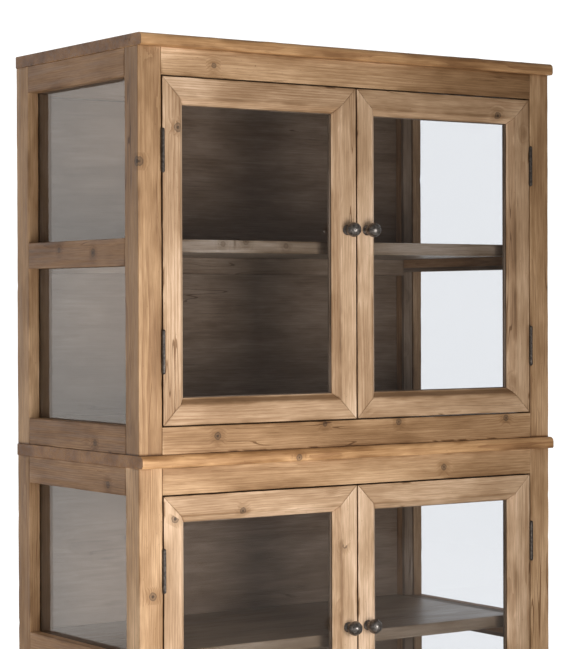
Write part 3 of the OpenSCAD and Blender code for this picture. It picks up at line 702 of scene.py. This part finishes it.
KNOTS = {           # middle and radius, in metres
    "upper_front_top_rail": [((-0.40, -0.267, 1.822), 0.0064)],
    "upper_front_bottom_rail": [
        ((-0.393, -0.267, 0.982), 0.0088), ((-0.094, -0.267, 0.999), 0.0064),
        ((0.124, -0.267, 0.997), 0.0080), ((0.46, -0.267, 0.996), 0.0080)],
    "lower_front_top_rail": [((0.262, -0.267, 0.882), 0.0080)],
    "lower_top_board": [((-0.18, -0.285, 0.925), 0.0080)],
    "lower_post_front_left": [((-0.566, -0.267, 0.63), 0.0096)],
    "upper_shelf": [((-0.329, -0.192, 1.421), 0.0064), ((-0.265, -0.192, 1.427), 0.0080),
                    ((-0.152, -0.192, 1.418), 0.0064)],
    "upper_left_door_left": [((-0.496, -0.262, 1.678), 0.0115)],
    "upper_right_door_top": [((0.436, -0.267, 1.747), 0.0096)],
    "upper_right_door_right": [((0.47, -0.262, 1.09), 0.0115)],
    "lower_left_door_top": [((-0.325, -0.267, 0.808), 0.0080)],
    "lower_left_door_right": [((-0.037, -0.267, 0.709), 0.0064)],
    "lower_left_door_left": [((-0.507, -0.267, 0.800), 0.0096)],
    "upper_side_rails_left_mid": [((-0.6, -0.062, 1.400), 0.0096), ((-0.6, 0.10, 1.41), 0.0064)],
    "upper_side_rails_left_bottom": [((-0.6, -0.068, 0.964), 0.0080)],
    "lower_side_rails_left_top": [((-0.6, -0.127, 0.872), 0.0080)],
    "upper_post_front_left": [((-0.597, -0.262, 1.599), 0.0115)],
}
print("boards with a tone:", len(TONES_AND_PAINTED_LIGHT), "and with a large knot:", len(KNOTS))

# %% [markdown]
# ## The carcass of each module
#
# Rails join four square posts with tenons that don't show, so a rail here ends at the posts'
# faces. A post's inner corner is stepped back where a pane or a panel sits, and whole where a
# rail meets it. The top board has a large rounding over a small one along its front.

# %% Build the carcasses
PANE_GAP = 0.001
NO_STEP = 2e-4          # a step never quite vanishes, so that every section has its corners
ON_FACE = 0.0003
POST_ROUND, FRONT_ROUND, SIDE_ROUND, BACK_ROUND = 0.0021, 0.0016, 0.0018, 0.0014
SHELF_ROUND, FLOOR_ROUND, PANEL_ROUND, BEAD_STRIP_ROUND = 0.0022, 0.0012, 0.0008, 0.0006
NOSE_ROUND = (0.005, 0.0015, 0.0018, 0.0135)    # the top board's four edges


def upright_spans(boxes):
    """Where panes or panels stand, from below to above, with their gaps."""
    return [(low[2] - PANE_GAP, high[2] + PANE_GAP) for low, high in boxes]


def inside(along, spans):
    """1 where a place lies in one of the spans, and nearly 0 elsewhere."""
    held = np.zeros(len(along))
    for below, above in spans:
        held[(along > below) & (along < above)] = 1.0
    return np.maximum(held, NO_STEP)


def post(node, left, front, panes, panels):
    """A post along z, with a step for the side panes, and a rear one also for the back panels.
    A step shrinks to nothing at the rails."""
    low, high = box_arrays(node)
    (pane_low, pane_high), (panel_low, panel_high) = panes[0], panels[0]
    wide = high[0] - pane_low[0] if left else pane_high[0] - low[0]
    if front:
        steps = {2 if left else 3: (wide, high[1] - (pane_low[1] - PANE_GAP), panes)}
    else:
        in_x = (high[0] - panel_low[0] if left else panel_high[0] - low[0]) + PANE_GAP
        steps = {1 if left else 0: (wide, pane_high[1] + PANE_GAP - low[1], panes),
                 2 if left else 3: (in_x, high[1] - panel_low[1], panels)}

    def shape(along):
        cuts = {}
        for corner, (da, db, boxes) in steps.items():
            held = inside(along, upright_spans(boxes))
            cuts[corner] = (da * held, db * held)
        rows = notched(*(k + 0 * along for k in (low[0], high[0], low[1], high[1])), cuts)
        return np.stack([np.stack(p, axis=-1) for p in rows], axis=1)

    stops = sorted({z for _, _, boxes in steps.values() for s in upright_spans(boxes) for z in s})
    made = board(2, low, high, shape, POST_ROUND, stops=stops, name=node)
    points = made["shape"][0]
    # painted light and shade: the outer flank is made lighter or darker, from foot to head
    foot, head = FLANK_LIGHT_AND_SHADE.get(node, (1.0, 1.0))
    up = (points[:, 2] - low[2]) / (high[2] - low[2])
    on_flank = np.abs(points[:, 0] - (low[0] if left else high[0])) < ON_FACE
    made["tone"] *= np.where(on_flank, foot + (head - foot) * up, 1.0)
    wooden(node, made)


def steps_of(low, high, boxes):
    """How high a rail's steps are: above, where a pane or panel stands on it, and below, where
    it is over one."""
    steps = {}
    for foot, head in upright_spans(boxes):
        if low < foot < high:
            steps["above"] = high - foot
        if low < head < high:
            steps["below"] = head - low
    return steps


def side_rails(node, panes, y_ends):
    """Rails along y from post to post, stepped on the inner face."""
    boards = []
    for low, high in solid_boxes(node):
        low[1], high[1] = y_ends
        left = low[0] < 0
        side = "left" if left else "right"
        corner = {"above": 2, "below": 3} if left else {"above": 1, "below": 0}
        pane_low, pane_high = panes[side][0]
        deep = high[0] - pane_low[0] if left else pane_high[0] - low[0]
        steps = steps_of(low[2], high[2], panes[side])
        cuts = {corner[k]: (tall, deep) for k, tall in steps.items()}
        shape = constant(notched(low[2], high[2], low[0], high[0], cuts))
        level = "mid" if len(steps) == 2 else "bottom" if "above" in steps else "top"
        boards.append(board(1, low, high, shape, SIDE_ROUND, name=f"{node}_{side}_{level}"))
    wooden(node, *boards)


def back_rails(node, panels, x_ends):
    """Rails along x between the rear posts, stepped on the back."""
    boards = []
    corner = {"above": 2, "below": 1}
    for low, high in sorted(solid_boxes(node), key=lambda box: box[0][2]):
        low[0], high[0] = x_ends
        deep = high[1] - panels[0][0][1]
        steps = steps_of(low[2], high[2], panels)
        cuts = {corner[k]: (deep, tall) for k, tall in steps.items()}
        shape = constant(notched(low[1], high[1], low[2], high[2], cuts))
        boards.append(board(0, low, high, shape, BACK_ROUND, name=node))
    wooden(node, *boards)


def plain_boards(node, boxes, radius, **how):
    """A node of plain boards, each along its own longest side."""
    wooden(node, *[board(int(np.argmax(high - low)), low, high, radius=radius, name=node, **how)
                   for low, high in boxes])


for module in ("lower", "upper"):
    boxes = solid_boxes(f"{module}_side_glass")
    panes = {"left": [box for box in boxes if box[0][0] < 0],
             "right": [box for box in boxes if box[0][0] > 0]}
    panels = solid_boxes(f"{module}_back_panels")
    front_post, rear_post = (box_arrays(f"{module}_post_{row}_left") for row in ("front", "rear"))
    x_ends = front_post[1][0], -front_post[1][0]
    y_ends = front_post[1][1], rear_post[0][1]
    for side in ("left", "right"):
        for row in ("front", "rear"):
            node = f"{module}_post_{row}_{side}"
            post(node, side == "left", row == "front", panes[side], panels)
    top = f"{module}_top_board"
    plain_boards(top, [box_arrays(top)], NOSE_ROUND, heart=(-0.05, -0.035))
    for rail in (f"{module}_front_top_rail", f"{module}_front_bottom_rail"):
        low, high = box_arrays(rail)
        low[0], high[0] = x_ends
        plain_boards(rail, [(low, high)], FRONT_ROUND)
    side_rails(f"{module}_side_rails", panes, y_ends)
    back_rails(f"{module}_back_rails", panels, x_ends)
    plain_boards(f"{module}_back_panels", panels, PANEL_ROUND, heart=(0.004, 0.03), straight=True)
    shelf, floor_board, beads = (f"{module}_{k}" for k in ("shelf", "floor_board", "side_beads"))
    plain_boards(shelf, [box_arrays(shelf)], SHELF_ROUND, heart=(0.02, -0.05))
    plain_boards(floor_board, [box_arrays(floor_board)], FLOOR_ROUND)
    plain_boards(beads, solid_boxes(beads), BEAD_STRIP_ROUND, straight=True)
worn = [piece.name for piece in bpy.data.objects if piece.name.endswith("_worn")]
print("wooden pieces of the carcasses:", len(worn))

# %% [markdown]
# ## The door frames
#
# A door is four sticks of one moulding, mitred at the corners: a flat face, a slope down to the
# glass, and behind it a rebate, where four small beads hold the pane. A stick's ends are cut at
# 45 degrees, so a point stops as far from the corner as it is from the outer edge. Painted shade
# darkens the gap round a door and the line where the slope starts. The slopes carry painted light
# and shade by the side they face, and the bottom slope, under the pane, is darker than the rest.

# %% Build the doors
FACE, SIGHT, SLOPE_D, GLASS_AT, REBATE = 0.046, 0.061, 0.016, 0.018, 0.010
BEAD_OUT, BEAD_CHAMFER, PANE_T = 0.063, 0.005, 0.004
STICK_ROUND = (0.0012, 0.0014, 0.0010, 0.0005, 0.0003, 0.0008, 0.0012)
BEAD_ROUND = (0.0003, 0.0006, 0.0008, 0.0008, 0.0003)
# painted shade in the gap round a door, on the outer edges of its sticks
GAP_REACH, GAP_SHADE = 0.0007, 0.22
LINE_REACH = 0.0016     # either side of the line where the slope starts
# painted shade along the line where the slope starts, one factor per stick
LINE_SHADE = {"top": 0.98, "right": 0.80, "bottom": 0.95, "left": 0.98}
SLOPE_MARGIN = 0.002
# painted light and shade on each stick's slope, by the side it faces
SLOPE_LIGHT_AND_SHADE = {"top": 1.12, "right": 0.88, "bottom": 0.46, "left": 1.03}
STICKS = (("left", 2, 0), ("right", 2, 0), ("bottom", 0, 2), ("top", 0, 2))     # along, across


def four_sticks(node, section, radii, outer, name):
    """Four mitred sticks round a door. section has (across from the outer edge, back from the
    face) in metres, and outer is the door's box."""
    low, high = outer
    across, back = np.array(section).T
    sticks = []
    for side, axis, a_axis in STICKS:
        far = side in ("right", "top")
        limit = high[a_axis] if far else low[a_axis]
        pair = [limit - across if far else limit + across, low[1] + back]
        column = AXES[axis].index(a_axis)
        section_here = np.stack(pair if column == 0 else pair[::-1], axis=1)
        stick = board(axis, low, high, constant(section_here), radii, name=f"{name}_{side}",
                      across=lambda rings, c=column, k=limit: np.abs(rings[..., c] - k))
        inward = np.abs(stick["shape"][0][:, a_axis] - limit)
        depth = stick["shape"][0][:, 1] - low[1]
        on_line = (np.abs(inward - FACE) < LINE_REACH) & (depth < LINE_REACH)
        on_slope = ((inward > FACE + SLOPE_MARGIN) & (inward < SIGHT - SLOPE_MARGIN)
                    & (depth < SLOPE_D))
        # painted shade in the gap and along the line, and painted light and shade on the slope
        stick["tone"][inward < GAP_REACH] *= GAP_SHADE
        stick["tone"][on_line] *= LINE_SHADE[side]
        stick["tone"][on_slope] *= SLOPE_LIGHT_AND_SHADE[side]
        sticks.append(stick)
    wooden(node, *sticks)


for module in ("lower", "upper"):
    for side in ("left", "right"):
        door = f"{module}_{side}_door"
        outer = box_arrays(door + "_frame")
        thick = outer[1][1] - outer[0][1]
        rebate, seat = SIGHT - REBATE, GLASS_AT + PANE_T
        four_sticks(door + "_frame", [(0, 0), (FACE, 0), (SIGHT, SLOPE_D), (SIGHT, GLASS_AT),
                                      (rebate, GLASS_AT), (rebate, thick), (0, thick)],
                    STICK_ROUND, outer, door)
        four_sticks(door + "_beads", [(rebate, seat), (BEAD_OUT, seat),
                                      (BEAD_OUT, thick - BEAD_CHAMFER),
                                      (BEAD_OUT - BEAD_CHAMFER, thick), (rebate, thick)],
                    BEAD_ROUND, outer, door + "_beads")

# %% [markdown]
# ## Glass
#
# A thin pane hardly bends light and mirrors a little of the room, more at a flat angle. So a
# clear shader is mixed with a mirror. A Glass shader would leave the shelves in the dark, as the
# lamps couldn't reach them. The mirror's share is Schlick's 0.04 + 0.96 (1 - cos)^5. The Fresnel
# node would be exact, but it turns over on the inner faces and would make them mirrors.

# %% Make the glass
PANE_TINT = (0.940, 0.947, 0.957, 1.0)      # of one face, and a pane has two
MIRROR_TINT = (1.0, 0.94, 0.88, 1.0)
glass, tree, out = empty_material("clear_pane")
facing = add_node(tree, "ShaderNodeLayerWeight", {"Blend": 0.5}).outputs["Facing"]
mirrored = calc(tree, "MULTIPLY_ADD", calc(tree, "POWER", facing, 5.0), 0.96, 0.04)
see_through = add_node(tree, "ShaderNodeBsdfTransparent", {"Color": PANE_TINT})
where = add_node(tree, "ShaderNodeTexCoord").outputs["Object"]
smear = spread(tree, noise(tree, where, 5.0, 3.0), 0.35, 0.75, 0.0, 0.012)
mirror = add_node(tree, "ShaderNodeBsdfGlossy", {"Color": MIRROR_TINT, "Roughness": smear})
pane = add_node(tree, "ShaderNodeMixShader",
                {0: mirrored, 1: see_through.outputs[0], 2: mirror.outputs[0]})
tree.links.new(pane.outputs[0], out.inputs[0])
finish["clear_glass"] = glass
print("glass ready")

# %% [markdown]
# ## Iron, steel, plastic and beech
#
# The hinges and knobs are blackened iron, rubbed to a duller grey where hands touch them. The
# strike plates are zinc-plated, the catches and glides black plastic, and the dowels beech.
# CAD nodes have no fields of their own, so these finishes read Object coordinates.


# %% Mix the metals and plastics
METAL_RELIEF = 0.0008


def metal(name, dark, light, metallic, rough_low, rough_high, size, bump_share):
    """A metal that wanders between two colours and two roughnesses in patches of this size."""
    material, tree, out = empty_material(name)
    where = add_node(tree, "ShaderNodeTexCoord").outputs["Object"]
    patch = noise(tree, where, 1 / size, 4.0, 0.6)
    fine = noise(tree, where, 6 / size, 3.0, 0.6)
    colour = blend(tree, spread(tree, patch, 0.35, 0.7), dark, light)
    height = calc(tree, "ADD", patch, calc(tree, "MULTIPLY", fine, 0.3))
    bump = add_node(tree, "ShaderNodeBump",
                    {"Strength": bump_share, "Distance": METAL_RELIEF, "Height": height})
    inputs = {"Base Color": colour, "Metallic": metallic, "Normal": bump.outputs[0],
              "Roughness": spread(tree, fine, 0.3, 0.7, rough_low, rough_high)}
    shader = add_node(tree, "ShaderNodeBsdfPrincipled", inputs)
    tree.links.new(shader.outputs[0], out.inputs[0])
    return material


finish["dark_iron"] = metal("blackened_iron", (0.040, 0.032, 0.027), (0.11, 0.09, 0.075), 0.7,
                            0.34, 0.55, 0.006, 0.5)
rubbed_iron = metal("rubbed_iron", (0.080, 0.068, 0.060), (0.24, 0.215, 0.195), 0.8,
                    0.25, 0.46, 0.007, 0.6)
finish["steel_plate"] = metal("zinc_plate", (0.45, 0.45, 0.44), (0.62, 0.62, 0.60), 1.0, 0.25, 0.4,
                              0.004, 0.2)
finish["black_plastic"] = metal("black_plastic", (0.018, 0.018, 0.018), (0.035, 0.035, 0.035), 0.0,
                                0.4, 0.6, 0.003, 0.15)
beech, tree, out = empty_material("bare_beech")
where = add_node(tree, "ShaderNodeTexCoord").outputs["Object"]
flecks = noise(tree, scaled(tree, where, (900.0, 900.0, 60.0)), 1.0, 2.0)
colour = blend(tree, flecks, (0.62, 0.44, 0.27), (0.48, 0.32, 0.18))
shader = add_node(tree, "ShaderNodeBsdfPrincipled", {"Base Color": colour, "Roughness": 0.6})
tree.links.new(shader.outputs[0], out.inputs[0])
finish["beech_dowel"] = beech
print("finishes:", sorted(finish))

# %% [markdown]
# ## Knobs
#
# Each knob is one forging, a profile turned about its axis: a round foot, a waist and a ball
# that was hammered nearly round. The hammering is a sum of waves over the two angles, about
# half a millimetre high. The screw comes through the door from behind, with a domed head.

# %% Turn the knobs
BALL_R, BALL_OUT, FOOT_R, NECK_R = 0.0175, 0.029, 0.0125, 0.0085
JOIN_R = 0.0104                 # where the waist meets the ball
HAMMER = 0.00028
KNOB_IN, KNOB_DROP = 0.0275, 0.335      # from the meeting edge, and from the door's top
SCREW_IN_KNOB = 0.012


def turned_profile(radii, outs, segments=64, hammer=0.0, seed=0):
    """A profile (radius, distance out) turned about an axis along -y: point (k, j) is at
    r_k (cos t_j, sin t_j), with r changed by hammer times a sum of waves in k and j."""
    waves = np.random.default_rng(seed)
    angle = np.linspace(0, 2 * math.pi, segments, endpoint=False)
    rows = np.arange(len(radii))
    dent = np.zeros((len(radii), segments))
    for _ in range(7):
        dent += np.sin(waves.integers(1, 6) * angle[None, :]
                       + waves.uniform(0.05, 0.45) * rows[:, None] + waves.uniform(0, 6.3))
    radii = np.array(radii)[:, None]
    radius = radii - hammer * (1 + np.tanh(dent / 2)) * (radii > 0.004)
    out = np.repeat(-np.array(outs)[:, None], segments, axis=1)
    points = np.stack([radius * np.cos(angle), out, radius * np.sin(angle)], axis=-1)
    return points.reshape(-1, 3), *skin(len(radii), segments)


def knob_profile():
    """Foot, waist and ball as radius and distance out from the door."""
    foot = [(0.006, 0.0), (0.0119, 0.0), (FOOT_R, 0.0007), (FOOT_R, 0.0022), (0.0118, 0.0034),
            (0.0102, 0.0047), (0.0090, 0.0062), (NECK_R, 0.0080), (NECK_R, 0.0100),
            (0.0092, 0.0118)]
    start = math.asin(JOIN_R / BALL_R)
    turn = np.linspace(start, math.pi - 0.03, 26)
    ball = np.stack([BALL_R * np.sin(turn), BALL_OUT - BALL_R * np.cos(turn)], axis=1)
    return np.concatenate([np.array(foot), ball])


def screw_head_profile(reach, head_r=0.0046):
    """The screw's rod and domed head, from the far end inside the knob to the head's top."""
    return np.array([(0.0022, reach), (0.0024, reach - 0.001), (0.0024, 0.0), (head_r, -0.00002),
                     (head_r, -0.0010), (0.0040, -0.0020), (0.0028, -0.0027), (0.0008, -0.0030)])


for module in ("lower", "upper"):
    for side in ("left", "right"):
        node = f"{module}_{side}_knob"
        low, high = box_arrays(f"{module}_{side}_door_frame")
        x = high[0] - KNOB_IN if side == "left" else low[0] + KNOB_IN
        at = np.array([x, low[1], high[2] - KNOB_DROP])
        thick = high[1] - low[1]
        radii, outs = knob_profile().T
        seed = 5 + len(node) + (side == "left")
        ball = turned_profile(radii, outs, hammer=HAMMER, seed=seed)
        radii, outs = screw_head_profile(thick + SCREW_IN_KNOB)[::-1].T
        rod = turned_profile(radii, outs - thick, segments=24)
        shapes = [(points + at, loops, totals) for points, loops, totals in (ball, rod)]
        in_place_of(node, put_mesh(node + "_forged", *joined(shapes)), rubbed_iron)

# %% [markdown]
# ## Everything that keeps its CAD shape
#
# Panes, hinges, screws, plates, catches, dowels, pegs and glides are already right in the CAD
# model. They only need their finish.

# %% Finish the CAD nodes
for node, shown in frame["nodes"].items():
    if shown.hide_render:
        continue
    shown.data.materials.clear()
    shown.data.materials.append(finish[slot_of_node(node)])
kept = [n for n, o in frame["nodes"].items() if not o.hide_render]
print("CAD nodes shown:", len(kept))
